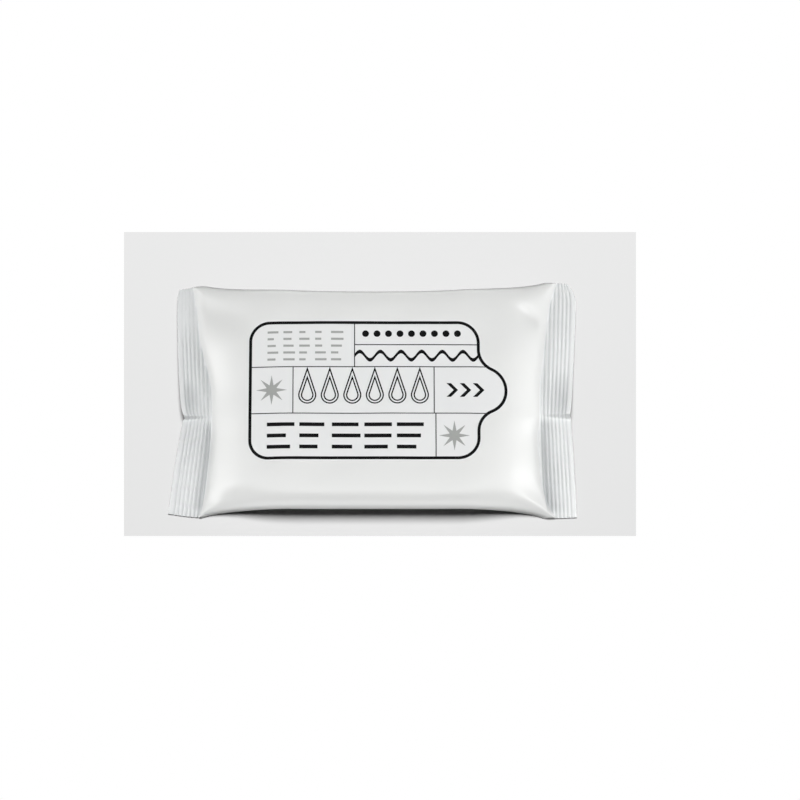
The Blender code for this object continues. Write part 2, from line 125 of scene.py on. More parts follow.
# How far the film of the body covers each seal towards its corners, and the far shoulder's share of that
NEAR_COVER = (0.0016, 0.0048)
FAR_COVER = (0.0066, 0.0054)
COVER_POWER = 6
SHOULDER_SHARE = (0.64, 0.29)
SHOULDER_RATE = 1.8
SHOULDER_START = 0.25
NEAR_HOLLOW = (0.0003, 0.0010)
HOLLOW_RATE = 4

# The tuck: the far flap rises over the near half, which droops and reaches out below it
TUCK_PLACE = 0.0077
TUCK_SHARPNESS = 0.0004
TUCK_DROOP = 0.0020
DROOP_REACH = 0.0080
TUCK_LIFT = 0.0018
LIFT_REACH = 0.0130
BUCKLE_POWER = 1.3
TUCK_LAP = (0.0012, 0.0006)
LAP_REACH = 0.0040
LAP_POWER = 2

# The far half of the right lip has sunk further, and a valley runs along the inner line of each seal.
FAR_DROOP = (0.0, 0.0016)
FAR_DROOP_REACH = 0.020
NEAR_VALLEY_DEPTH = 0.0030
FAR_VALLEY_DEPTH = 0.0014
VALLEY_REACH = 0.0022
VALLEY_RATE = 3

# The dents beside the corners of the stack: place x and y, depth, half length, half width and turn
DENTS = (
    (0.0550, 0.0312, 0.0017, 0.0048, 0.0030, -50),
    (-0.0552, 0.0330, 0.0020, 0.0100, 0.0055, 140),
    (-0.0525, -0.0400, 0.0019, 0.0080, 0.0040, 10),
    (0.0570, -0.0375, 0.0008, 0.0080, 0.0040, -38),
)
DENT_ROUNDING = 6
DENT_RATE = 2

# The flat pressed into the far corner of the right end: a point of its plane, and its fall along x and y
FACET_PLACE = (0.0504, 0.0317, 0.0130)
FACET_SLOPE = (0.46, 0.33)
FACET_SOFTNESS = 0.0003

# The film's shallow waves: their heights, their rates in radians to the metre, and their starts
BROAD_WAVE = 0.00016
BROAD_RATES = (131, 94, 83, 37)
BROAD_BEND = 1.1
BROAD_STARTS = (0.6, 0.4)
FINE_WAVE = 0.00007
FINE_RATES = (290, 173, 241, 61)
FINE_START = 2.0

# The fin seal presses a soft tent into the film that lies over it.
FIN_WIDTH = 0.0100
TENT_HEIGHT = 0.00045
TENT_REACH = 0.0027
TENT_RATE = 3


def smooth_step(value):
    value = np.clip(value, 0.0, 1.0)
    return value * value * (3 - 2 * value)


def along(t):
    """0 at the middle of the pack and 1 from the inner line of either end seal outwards."""
    return np.minimum(1.0, np.abs(t) / BODY_HALF)


def outwards(t):
    """0 up to the inner line of a seal, then up to 1 at its cut edge."""
    return np.maximum(0.0, np.abs(t) - BODY_HALF) / SEAL_DEPTH


def from_tuck(s):
    """Distance across the seal from the tuck, positive on the far half."""
    return s * HALF_SPAN + TUCK_PLACE


def by_end(t, pair):
    """The value of the left end or of the right end."""
    return np.where(t < 0, pair[0], pair[1])


def by_half(s, near, far):
    """The value of the near half of a seal or of its far half, parted by the tuck."""
    return np.where(from_tuck(s) > 0, far, near)


def tuck_share(s):
    """0 at the tuck and 1 at either corner of a seal."""
    reach = by_half(s, HALF_SPAN - TUCK_PLACE, HALF_SPAN + TUCK_PLACE)
    return np.minimum(1.0, np.abs(from_tuck(s)) / reach)


def seal_draw(t, s):
    """How far the seal is drawn in towards the pack, by its corners and the tuck between them."""
    share = tuck_share(s)
    tuck = by_end(t, TUCK_DRAW)
    corner = by_half(s, by_end(t, NEAR_DRAW), by_end(t, FAR_DRAW))
    curve = by_half(s, by_end(t, NEAR_CURVE), by_end(t, FAR_CURVE))
    inner = INNER_SHARE * (tuck + (corner - tuck) * share**INNER_CURVE)
    outer = tuck + (corner - tuck) * share**curve
    cut_share = np.maximum(0.0, share - CUT_START) / (1 - CUT_START)
    cut = by_half(s, 0.0, by_end(t, CORNER_CUT)) * cut_share**2
    offset = from_tuck(s)
    lap = by_end(t, TUCK_LAP) * (1 - np.tanh(offset / TUCK_SHARPNESS)) / 2
    lap = lap * np.exp(-np.abs(offset) / LAP_REACH)
    out = outwards(t)
    return inner + (outer - inner) * out - lap * out**LAP_POWER + cut * out**CUT_POWER


def width_across(t, s):
    """Distance from the middle line to the side line at t, for the film's bend at s."""
    power = NEAR_FLARE_POWER + (FAR_FLARE_POWER - NEAR_FLARE_POWER) * (s + 1) / 2
    half_span = HALF_SPAN + np.sign(t) * SPAN_DIFFERENCE / 4
    return HALF_WAIST + (half_span - HALF_WAIST) * along(t) ** power * s * s


def sideways(t):
    """How far the whole cross-section at t lies from the middle of the seals."""
    shifted = along(t) ** SHIFT_POWER
    return BODY_OFFSET * (1 - shifted) + by_end(t, SEAL_SHIFT) * shifted


def swing(t, s):
    """How far the top film of an end slope bulges out over the seal, most where it is half open."""
    opened = opening(t, s)
    return np.sign(t) * 4 * END_BULGE * opened * (1 - opened)


def film_plan(t, s):
    """Where the film point (t, s) lies in plan. t runs along the pack and s across it, from -1 to 1."""
    pull = by_end(t, CORNER_PULL) * s**PULL_SIDE_POWER * outwards(t) ** PULL_POWER
    y = s * width_across(t, s) + sideways(t) - pull
    x = t - np.sign(t) * seal_draw(t, s) * along(t) ** DRAW_POWER
    return x, y


def clear_of_body(t, s):
    """Distance out along the seal from where the film of the body covers it."""
    share = tuck_share(s)
    corner = share**COVER_POWER
    shoulder = by_end(t, SHOULDER_SHARE)
    rise = smooth_step(SHOULDER_RATE * share - SHOULDER_START)
    far_cover = by_end(t, FAR_COVER) * (shoulder * rise + (1 - shoulder) * corner)
    hollow = by_end(t, NEAR_HOLLOW) * smooth_step(HOLLOW_RATE * share) * (1 - share**2)
    near_cover = by_end(t, NEAR_COVER) * corner - hollow
    return np.abs(t) - BODY_HALF - by_half(s, near_cover, far_cover)


def opening(t, s):
    """How far the tube has opened along the pack, from 0 in the crimped seal to 1 over the stack."""
    share = np.clip(-clear_of_body(t, s) / END_SLOPE, 0.0, 1.0)
    return 1 - (1 - share) ** END_ROUNDING


def side_curve(s, rounding):
    """1 in the middle of the film, falling to 0 at its side line, the later the higher the rounding."""
    return np.sqrt(np.maximum(0.0, 1 - np.abs(s) ** rounding))


def swell(t, s, side_rounding):
    """Share of the full height. The side and end slopes meet in soft hips that run to the corners."""
    rounding = side_rounding + (EAR_ROUNDING - side_rounding) * along(t) ** EAR_POWER
    lengthwise = np.maximum(NEARLY_CLOSED, opening(t, s))
    crosswise = np.maximum(NEARLY_CLOSED, side_curve(s, rounding))
    return (2 / (lengthwise**-HIP_SHARPNESS + crosswise**-HIP_SHARPNESS)) ** (1 / HIP_SHARPNESS)


def dents(x, y):
    """How far the film is pressed in beside the corners of the stack."""
    depth = 0.0
    for place_x, place_y, deepest, half_length, half_width, turn in DENTS:
        cosine = math.cos(math.radians(turn))
        sine = math.sin(math.radians(turn))
        lengthwise = (x - place_x) * cosine + (y - place_y) * sine
        crosswise = (y - place_y) * cosine - (x - place_x) * sine
        fall = (lengthwise / half_length) ** 2 + (crosswise / half_width) ** 2
        depth = depth + deepest * np.exp(-fall)
    return depth


def over_facet(x, y, height):
    """How far the film lies over the flat that is pressed into the far corner of the right end."""
    fall = FACET_SLOPE[0] * (x - FACET_PLACE[0]) + FACET_SLOPE[1] * (y - FACET_PLACE[1])
    over = (height - FACET_PLACE[2] + fall) / FACET_SOFTNESS
    return FACET_SOFTNESS * np.logaddexp(0.0, over)


def seal_line(t, s):
    """Height of the sheet where the two films are joined."""
    out = outwards(t)
    offset = from_tuck(s)
    off_corners = 1 - s * s
    height = CORNER_HEIGHT + (SEAL_HEIGHT - CORNER_HEIGHT) * (1 - np.abs(s) ** ARCH_POWER)
    droop = LIP_DROOP + by_end(t, FAR_DROOP) * smooth_step(offset / FAR_DROOP_REACH)
    height = height - droop * off_corners * out**DROOP_POWER
    valley = np.exp(-((clear_of_body(t, s) / VALLEY_REACH) ** 2))
    valley = valley * smooth_step(VALLEY_RATE * tuck_share(s)) * off_corners
    height = height - valley * by_half(s, NEAR_VALLEY_DEPTH, FAR_VALLEY_DEPTH)
    beyond = (1 + np.tanh(offset / TUCK_SHARPNESS)) / 2
    raised = TUCK_LIFT * beyond * np.exp(-((offset / LIFT_REACH) ** 2))
    lowered = TUCK_DROOP * (1 - beyond) * np.exp(-np.abs(offset) / DROOP_REACH)
    return height + (raised - lowered) * out**BUCKLE_POWER


def middle_line(t, s):
    """Height of the side line, which falls from the stack's sides to the joint of the seal."""
    blend = smooth_step((along(t) - JOINT_FALL_START) / (1 - JOINT_FALL_START))
    return SIDE_LINE_HEIGHT + (seal_line(t, s) - SIDE_LINE_HEIGHT) * blend


def slack(x, y):
    """The soft, shallow waves of film that isn't quite taut over the stack."""
    bend = BROAD_BEND * np.sin(y * BROAD_RATES[1] + BROAD_STARTS[0])
    broad = np.sin(x * BROAD_RATES[0] + bend)
    broad = broad * np.cos(y * BROAD_RATES[2] - x * BROAD_RATES[3] + BROAD_STARTS[1])
    fine = np.sin(x * FINE_RATES[0] - y * FINE_RATES[1] + FINE_START)
    fine = fine * np.sin(y * FINE_RATES[2] + x * FINE_RATES[3])
    return BROAD_WAVE * broad + FINE_WAVE * fine


def film_top(t, s):
    """Height of the film's upper face."""
    x, y = film_plan(t, s)
    level = middle_line(t, s) + (PACK_HEIGHT - SIDE_LINE_HEIGHT) * swell(t, s, SIDE_ROUNDING_TOP)
    soft = (slack(x, y) - dents(x, y)) * side_curve(s, DENT_ROUNDING)
    soft = soft - over_facet(x + swing(t, s), y, level)
    return level + soft * smooth_step(opening(t, s) * DENT_RATE) + SEAL_THICKNESS / 2


def film_under(t, s):
    """Height of the film's lower face, which lies flat on the table under the stack."""
    fall = SIDE_LINE_HEIGHT * np.minimum(1.0, swell(t, s, SIDE_ROUNDING_UNDER) * UNDER_FULLNESS)
    level = middle_line(t, s) - fall - SEAL_THICKNESS / 2
    beside_fin = np.maximum(0.0, np.abs(film_plan(t, s)[1] - BODY_OFFSET) - FIN_WIDTH / 2)
    tent = TENT_HEIGHT * (1 - smooth_step(beside_fin / TENT_REACH))
    return np.maximum(0.0, level) + tent * smooth_step(opening(t, s) * TENT_RATE)


FITTING_ROUNDS = 12


def on_film(x, y):
    """Height of the top film over plan points away from the seals, found by closing in on t and s."""
    t = x
    s = np.zeros_like(x)
    for _ in range(FITTING_ROUNDS):
        s = np.clip((y - sideways(t)) / width_across(t, s), -1.0, 1.0)
        t = x + np.sign(x) * seal_draw(t, s) * along(t) ** DRAW_POWER - swing(t, s)
    return film_top(t, s)


STATIONS_PER_RIDGE = 8
LIP_STATIONS = 4
BODY_STATIONS = 56
BODY_SPREAD = 1.35
SIDE_STATIONS = 76
SIDE_SPREAD = 1.9
TUCK_STATIONS = 13
TUCK_SPREAD = 3
CLOSEST_STATIONS = 0.0012


def stations_along():
    """Close stations over the seals, so that each ridge is round, and wider ones over the body."""
    ridge_stations = RIDGE_COUNT * STATIONS_PER_RIDGE + 1
    ridges = np.linspace(BODY_HALF, HALF_LENGTH - SEAL_LIP, ridge_stations)
    lip = np.linspace(HALF_LENGTH - SEAL_LIP, HALF_LENGTH, LIP_STATIONS + 1)[1:]
    body = BODY_HALF * (1 - np.linspace(1, 0, BODY_STATIONS) ** BODY_SPREAD)[:-1]
    half = np.concatenate([body[1:], ridges, lip])
    return np.concatenate([-half[::-1], [0.0], half])


def stations_across():
    """Stations across the film, closest at the round sides and at the tuck."""
    half = 1 - np.linspace(0, 1, SIDE_STATIONS)[:-1] ** SIDE_SPREAD
    around_tuck = np.linspace(-TUCK_SPREAD, TUCK_SPREAD, TUCK_STATIONS) * TUCK_SHARPNESS
    tuck = (around_tuck - TUCK_PLACE) / HALF_SPAN
    every = np.concatenate([half, -half, [0.0], tuck])
    every.sort()
    keep = np.concatenate([[True], np.diff(every) > CLOSEST_STATIONS])
    keep[-1] = True
    return every[keep]


def linear(hex_colour):
    """An sRGB hex colour as the linear values that a shader takes, by the sRGB standard's own curve."""
    values = [int(hex_colour[i : i + 2], 16) / 255 for i in (1, 3, 5)]
    return [v / 12.92 if v <= 0.04045 else ((v + 0.055) / 1.055) ** 2.4 for v in values] + [1.0]


def add(tree, kind, inputs=None, **settings):
    """Adds a node with its settings. inputs gives a socket a value, or a link to another socket."""
    node = tree.nodes.new(kind)
    for name, value in settings.items():
        setattr(node, name, value)
    for socket, value in (inputs or {}).items():
        if isinstance(value, bpy.types.NodeSocket):
            tree.links.new(value, node.inputs[socket])
        else:
            node.inputs[socket].default_value = value
    return node


def new_material(name):
    """An empty material, with its tree, Principled shader and Object coordinates."""
    material = bpy.data.materials.new(name)
    material.use_nodes = True
    tree = material.node_tree
    coordinates = add(tree, "ShaderNodeTexCoord").outputs["Object"]
    return material, tree, tree.nodes["Principled BSDF"], coordinates


def new_object(name, mesh):
    """An object at the origin, linked into the scene."""
    obj = bpy.data.objects.new(name, mesh)
    bpy.context.scene.collection.objects.link(obj)
    return obj


def new_geometry_tree(name, sockets):
    """A Geometry Nodes tree with a geometry input, the named inputs and a geometry output."""
    tree = bpy.data.node_groups.new(name, "GeometryNodeTree")
    tree.interface.new_socket("Geometry", in_out="INPUT", socket_type="NodeSocketGeometry")
    for socket, kind in sockets.items():
        tree.interface.new_socket(socket, in_out="INPUT", socket_type="NodeSocket" + kind)
    tree.interface.new_socket("Geometry", in_out="OUTPUT", socket_type="NodeSocketGeometry")
    inputs = add(tree, "NodeGroupInput").outputs
    return tree, inputs


def end_tree(tree, geometry, material):
    """Ends a tree in real geometry with its material."""
    real = add(tree, "GeometryNodeRealizeInstances", {"Geometry": geometry})
    inputs = {"Geometry": real.outputs[0], "Material": material}
    painted = add(tree, "GeometryNodeSetMaterial", inputs)
    add(tree, "NodeGroupOutput", {"Geometry": painted.outputs[0]})


def grow(obj, tree, values):
    """Runs a Geometry Nodes tree on an object and keeps the result as its plain mesh."""
    modifier = obj.modifiers.new(tree.name, "NODES")
    modifier.node_group = tree
    for item in tree.interface.items_tree:
        if item.in_out == "INPUT" and item.name in values:
            modifier[item.identifier] = values[item.name]
    evaluated = obj.evaluated_get(bpy.context.evaluated_depsgraph_get())
    mesh = bpy.data.meshes.new_from_object(evaluated)
    obj.modifiers.remove(modifier)
    obj.data = mesh


# White PET and PE laminate, printed white inside and satin outside. It mirrors lights only as broad,
# soft glows, and its surface has the faint unevenness of film that lies on folded cloth. The seals have
# no cloth behind them and look colder. Painted shade greys their grooves, the folds beside the body and
# at the flap's edge, and all of the left seal a little.
CLOTH_GRAIN = 0.00385
BROAD_GRAIN = 0.0294
GROOVE_SHADE_TONE = 0.26
FOLD_SHADE_TONE = 0.46
FILM_IOR = 1.5

white_film, tree, shader, place = new_material("satin_white_laminate")
backing = add(tree, "ShaderNodeAttribute", attribute_name="backed")
cloth = add(tree, "ShaderNodeTexNoise", {"Vector": place, "Scale": 1 / CLOTH_GRAIN, "Detail": 3.0})
broad = add(tree, "ShaderNodeTexNoise", {"Vector": place, "Scale": 1 / BROAD_GRAIN, "Detail": 2.0})
tint = add(tree, "ShaderNodeMix", {"Factor": broad.outputs["Fac"]}, data_type="RGBA")
tint.inputs["A"].default_value = linear("#EDEEED")
tint.inputs["B"].default_value = linear("#F1F2F0")
bare = add(tree, "ShaderNodeMix", {"Factor": backing.outputs["Fac"]}, data_type="RGBA")
bare.inputs["A"].default_value = linear("#FAFCFC")
tree.links.new(tint.outputs["Result"], bare.inputs["B"])
# Painted shade: the deeper a rib's groove, the greyer its colour.
grooves = add(tree, "ShaderNodeAttribute", attribute_name="groove")
groove_shade_share = add(tree, "ShaderNodeMath", {0: grooves.outputs["Fac"], 1: GROOVE_SHADE_TONE}, operation="MULTIPLY")
lined = add(tree, "ShaderNodeMix", {"Factor": groove_shade_share.outputs[0]}, data_type="RGBA")
lined.inputs["B"].default_value = linear("#8F9698")
tree.links.new(bare.outputs["Result"], lined.inputs["A"])
# Painted shade: the folds beside the body, the flap's edge and the left seal are mixed towards a darker
# grey.
fold_shade_map = add(tree, "ShaderNodeAttribute", attribute_name="painted_fold_shade")
fold_shade_share = add(tree, "ShaderNodeMath", {0: fold_shade_map.outputs["Fac"], 1: FOLD_SHADE_TONE}, operation="MULTIPLY")
grey = add(tree, "ShaderNodeMix", {"Factor": fold_shade_share.outputs[0]}, data_type="RGBA")
grey.inputs["B"].default_value = linear("#8A9094")
tree.links.new(lined.outputs["Result"], grey.inputs["A"])
tree.links.new(grey.outputs["Result"], shader.inputs["Base Color"])
gloss = add(tree, "ShaderNodeMapRange", {"Value": cloth.outputs["Fac"], "To Min": 0.38, "To Max": 0.46})
tree.links.new(gloss.outputs["Result"], shader.inputs["Roughness"])
bump = add(tree, "ShaderNodeBump", {"Height": cloth.outputs["Fac"], "Strength": 0.06, "Distance": 0.0003})
tree.links.new(bump.outputs["Normal"], shader.inputs["Normal"])
shader.inputs["IOR"].default_value = FILM_IOR
shader.inputs["Specular IOR Level"].default_value = 1.0


def closed_film(name, rows):
    """Joins rings of points along the pack into one closed mesh, with a strip over each cut end."""
    ring_count, count, _ = rows.shape
    i, j = np.meshgrid(np.arange(ring_count - 1), np.arange(count), indexing="ij")
    after = (j + 1) % count
    quads = np.stack([i * count + j, i * count + after, (i + 1) * count + after, (i + 1) * count + j], -1)
    faces = quads.reshape(-1, 4).tolist()
    for ring, turn in ((0, 1), (ring_count - 1, -1)):
        for above in range(count // 2 - 1):
            under = count - 1 - above
            strip = [ring * count + v for v in (above, above + 1, under - 1, under)]
            faces.append(strip[::turn])
    mesh = bpy.data.meshes.new(name)
    mesh.from_pydata(rows.reshape(-1, 3).tolist(), [], faces)
    work = bmesh.new()
    work.from_mesh(mesh)
    bmesh.ops.recalc_face_normals(work, faces=work.faces)
    work.to_mesh(mesh)
    work.free()
    mesh.shade_smooth()
    return mesh


def keep_on_points(obj, name, upper_values, lower_values):
    """Stores one value for each point of both faces of a closed film."""
    both = np.concatenate([upper_values, lower_values[:, ::-1]], 1)
    attribute = obj.data.attributes.new(name, "FLOAT", "POINT")
    attribute.data.foreach_set("value", both.reshape(-1).astype(np.float32))


t_grid, s_grid = np.meshgrid(stations_along(), stations_across(), indexing="ij")
x_grid, y_grid = film_plan(t_grid, s_grid)
upper = np.stack([x_grid + swing(t_grid, s_grid), y_grid, film_top(t_grid, s_grid)], -1)
lower = np.stack([x_grid, y_grid, film_under(t_grid, s_grid)], -1)[:, ::-1]
pouch = new_object("film_pouch", closed_film("film_pouch", np.concatenate([upper, lower], 1)))

# The crimp: each point knows how far out it lies on the seal, and how hard the jaws pressed there. The
# pressing varies a little along the jaws, and it is weak at the far corner of the left seal.
PRESS_EDGE = 0.0004
PRESS_RATE = 12
BACKING_RATE = 14
UNEVEN_SHARE = 0.12
UNEVEN_RATE = 210
WEAK_SHARE = 0.75
WEAK_START = 0.021
WEAK_REACH = 0.010

opened = opening(t_grid, s_grid)
seal_out = np.abs(t_grid) - BODY_HALF
pressed = smooth_step(seal_out / PRESS_EDGE)
pressed = pressed * (1 - smooth_step((seal_out - SEAL_DEPTH + SEAL_LIP) / PRESS_EDGE))
flat = 1 - smooth_step(opened * PRESS_RATE)
uneven = 1 - UNEVEN_SHARE + UNEVEN_SHARE * np.sin(y_grid * UNEVEN_RATE + np.sign(t_grid))
weak = WEAK_SHARE * smooth_step((y_grid - WEAK_START) / WEAK_REACH)
crimped = pressed * flat * uneven * np.where(t_grid < 0, 1 - weak, 1.0)
crimped_under = np.minimum(crimped, film_under(t_grid, s_grid) / RIDGE_HEIGHT)
backed = smooth_step(opened * BACKING_RATE)

# Painted shade greys the seal where it is folded hard, beside the body near each tuck and at the edge of
# the raised flap. Painted shade also greys all of the left seal a little, and hardly the right.
FOLD_SHADE_REACH = (0.0042, 0.0058)
FOLD_SHADE_START = 0.004
CORNER_FADE = 0.10
FLAP_MIDDLE = 0.006
FLAP_REACH = 0.010
FLAP_START = 0.001
FLAP_OUT_RATE = 1.2
FLAP_SHADE = (1.0, 0.6)
SEAL_SHADE_BY_END = (0.32, 0.06)

past_tuck = from_tuck(s_grid)
near_half = smooth_step(-past_tuck / FOLD_SHADE_START) * smooth_step((s_grid + 1) / CORNER_FADE)
beside_body = np.exp(-((clear_of_body(t_grid, s_grid) / by_end(t_grid, FOLD_SHADE_REACH)) ** 2)) * near_half
flap_edge = np.exp(-(((past_tuck - FLAP_MIDDLE) / FLAP_REACH) ** 2)) * smooth_step(past_tuck / FLAP_START)
flap_edge = flap_edge * smooth_step(outwards(t_grid) * FLAP_OUT_RATE) * by_end(t_grid, FLAP_SHADE)
seal_shade = by_end(t_grid, SEAL_SHADE_BY_END) * flat * smooth_step(seal_out / PRESS_EDGE)
painted_fold_shade = np.maximum(seal_shade, pressed * np.maximum(beside_body, flap_edge))

keep_on_points(pouch, "seal_out", seal_out, seal_out)
keep_on_points(pouch, "crimped", crimped, crimped_under)
keep_on_points(pouch, "backed", backed, backed)
keep_on_points(pouch, "painted_fold_shade", painted_fold_shade, painted_fold_shade)

# The tree that presses ribs into a film: a row of rounded grooves, as deep as the jaws pressed
GROOVE_ROUNDING = 1.4

ribs_tree, sockets = new_geometry_tree(
    "crimp_ribs", {"Rib pitch": "Float", "Rib height": "Float", "Material": "Material"}
)
out = add(ribs_tree, "GeometryNodeInputNamedAttribute", {"Name": "seal_out"}, data_type="FLOAT")
press = add(ribs_tree, "GeometryNodeInputNamedAttribute", {"Name": "crimped"}, data_type="FLOAT")
turns = add(
    ribs_tree,
    "ShaderNodeMath",
    {0: out.outputs["Attribute"], 1: sockets["Rib pitch"]},
    operation="DIVIDE",
)
angle = add(ribs_tree, "ShaderNodeMath", {0: turns.outputs[0], 1: 2 * math.pi}, operation="MULTIPLY")
wave = add(ribs_tree, "ShaderNodeMath", {0: angle.outputs[0]}, operation="COSINE")
raised = add(ribs_tree, "ShaderNodeMath", {0: wave.outputs[0], 1: 0.5, 2: 0.5}, operation="MULTIPLY_ADD")
groove = add(ribs_tree, "ShaderNodeMath", {0: raised.outputs[0], 1: GROOVE_ROUNDING}, operation="POWER")
tall = add(
    ribs_tree,
    "ShaderNodeMath",
    {0: groove.outputs[0], 1: sockets["Rib height"]},
    operation="MULTIPLY",
)
down = add(ribs_tree, "ShaderNodeMath", {0: tall.outputs[0], 1: -1.0}, operation="MULTIPLY")
depth = add(
    ribs_tree, "ShaderNodeMath", {0: groove.outputs[0], 1: press.outputs["Attribute"]}, operation="MULTIPLY"
)
sunk = add(
    ribs_tree, "ShaderNodeMath", {0: down.outputs[0], 1: press.outputs["Attribute"]}, operation="MULTIPLY"
)
offset = add(ribs_tree, "ShaderNodeCombineXYZ", {"Z": sunk.outputs[0]})
moved = add(
    ribs_tree, "GeometryNodeSetPosition", {"Geometry": sockets["Geometry"], "Offset": offset.outputs[0]}
)
marked = add(
    ribs_tree,
    "GeometryNodeStoreNamedAttribute",
    {"Geometry": moved.outputs[0], "Name": "groove", "Value": depth.outputs[0]},
    data_type="FLOAT",
    domain="POINT",
)
end_tree(ribs_tree, marked.outputs[0], sockets["Material"])

grow(pouch, ribs_tree, {"Rib pitch": RIDGE_PITCH, "Rib height": RIDGE_HEIGHT, "Material": white_film})
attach(pouch, "root")
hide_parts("pouch")


# The fin seal
# The long edges of the film, sealed to each other back to back between ribbed wheels. The strip is
# folded over flat along the underside, and the end jaws have crimped it into both end seals.

FIN_RIB_PITCH = 0.0010
FIN_RIB_HEIGHT = 0.00012
FIN_PLY = 0.0003
FIN_GAP = 0.00002
FIN_RIBBED_SHARE = 0.42
FIN_RIB_FADE = 0.06
FIN_STATIONS_ALONG = 1201
FIN_STATIONS_ACROSS = 11

fin_t = np.linspace(-HALF_LENGTH, HALF_LENGTH, FIN_STATIONS_ALONG)
fin_s = np.linspace(-FIN_WIDTH / 2, FIN_WIDTH / 2, FIN_STATIONS_ACROSS) / HALF_WAIST
t_fin, s_fin = np.meshgrid(fin_t, fin_s, indexing="ij")
x_fin, y_fin = film_plan(t_fin, s_fin)
inner_face = film_under(t_fin, s_fin) - FIN_GAP
fin_upper = np.stack([x_fin, y_fin, inner_face], -1)
fin_lower = np.stack([x_fin, y_fin, inner_face - FIN_PLY], -1)[:, ::-1]
fin = new_object("fin_seal", closed_film("fin_seal", np.concatenate([fin_upper, fin_lower], 1)))
between_seals = np.abs(t_fin) < BODY_HALF
fin_out = np.where(between_seals, t_fin + BODY_HALF, 0.0)
past_ribs = np.abs(y_fin) - FIN_WIDTH * FIN_RIBBED_SHARE
fin_press = np.where(between_seals, 1 - smooth_step(past_ribs / (FIN_WIDTH * FIN_RIB_FADE)), 0.0)
keep_on_points(fin, "seal_out", fin_out, fin_out)
keep_on_points(fin, "crimped", fin_press, fin_press)
grow(fin, ribs_tree, {"Rib pitch": FIN_RIB_PITCH, "Rib height": FIN_RIB_HEIGHT, "Material": white_film})
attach(fin, "root")


# The resealable label
# A sticker of thicker white film with a peelable glue, laid over the opening cut in the pouch. Its
# finger tab points to one end. It follows the film under it, and its cut edge shows as a fine line.

LABEL_LENGTH = 0.0855
LABEL_WIDTH = 0.0535
LABEL_THICKNESS = 0.00006
LABEL_OFFSET_X = -0.0035
LABEL_OFFSET_Y = 0.00035
LABEL_CORNER = 0.0080
LABEL_SHOULDER = 0.0088
TAB_REACH = 0.0100
TAB_RADIUS = 0.0098
TAB_HOLLOW = 0.0070
GLUE = 0.00003

ARC_STEP = math.radians(4)
FEWEST_ARC_STEPS = 3
CELL = 0.0015
MERGE_DISTANCE = 0.000001
EDGE_ANGLE = math.radians(40)


def arc(centre, radius, start, end):
    """Points on an arc, with both ends, from one angle to the other in radians."""
    steps = max(FEWEST_ARC_STEPS, math.ceil(abs(end - start) / ARC_STEP))
    points = []
    for step in range(steps + 1):
        angle = start + (end - start) * step / steps
        points.append((centre[0] + radius * math.cos(angle), centre[1] + radius * math.sin(angle)))
    return points


def label_outline(inset):
    """The label's cut edge, or a line at an even distance inside it, anticlockwise from the tab."""
    right = LABEL_LENGTH / 2 + LABEL_OFFSET_X
    left = right - LABEL_LENGTH
    half = LABEL_WIDTH / 2
    reach = TAB_RADIUS + TAB_HOLLOW
    hollow_y = math.sqrt(TAB_REACH * (2 * reach - TAB_REACH))
    tab_x = right + TAB_REACH - TAB_RADIUS
    turn = math.atan2(hollow_y, right + TAB_HOLLOW - tab_x)
    upper = arc((tab_x, 0), TAB_RADIUS - inset, 0, turn)
    upper += arc((right + TAB_HOLLOW, hollow_y), TAB_HOLLOW + inset, turn + math.pi, math.pi)[1:]
    shoulder = (right - LABEL_SHOULDER, half - LABEL_SHOULDER)
    upper += arc(shoulder, LABEL_SHOULDER - inset, 0, math.pi / 2)
    corner = (left + LABEL_CORNER, half - LABEL_CORNER)
    upper += arc(corner, LABEL_CORNER - inset, math.pi / 2, math.pi)
    lower = [(x, -y) for x, y in reversed(upper[1:])]
    return [(x, y + LABEL_OFFSET_Y) for x, y in upper + lower]


def anticlockwise(shape):
    """The same outline, turned round where it runs clockwise."""
    area = 0.0
    for i, point in enumerate(shape):
        area += shape[i - 1][0] * point[1] - point[0] * shape[i - 1][1]
    return shape if area > 0 else shape[::-1]


def flat_mesh(shapes):
    """Joins overlapping flat polygons into one bmesh, cut into square cells so that it can bend."""
    outline_points = np.array([point for shape in shapes for point in shape])
    low = np.floor(outline_points.min(0) / CELL).astype(int)
    high = np.ceil(outline_points.max(0) / CELL).astype(int)
    points = []
    faces = []
    for shape in shapes:
        faces.append(list(range(len(points), len(points) + len(shape))))
        points += [Vector(point) for point in anticlockwise(shape)]
    edges = []
    for axis in (0, 1):
        for cut in range(low[axis], high[axis] + 1):
            for end in (low, high):
                point = [end[0] * CELL, end[1] * CELL]
                point[axis] = cut * CELL
                points.append(Vector(point))
            edges.append((len(points) - 2, len(points) - 1))
    every_triangle = 0
    joined = delaunay_2d_cdt(points, edges, faces, every_triangle, MERGE_DISTANCE)
    places, triangles, shapes_covered = joined[0], joined[2], joined[5]
    mesh = bmesh.new()
    used = {}
    for triangle, covered in zip(triangles, shapes_covered):
        if not covered:
            continue
        for index in triangle:
            if index not in used:
                used[index] = mesh.verts.new((*places[index], 0.0))
        mesh.faces.new([used[index] for index in triangle])
    return mesh


def flat_piece(name, shapes):
    """An object that holds flat shapes, still at height zero."""
    work = flat_mesh(shapes)
    mesh = bpy.data.meshes.new(name)
    work.to_mesh(mesh)
    work.free()
    return new_object(name, mesh)


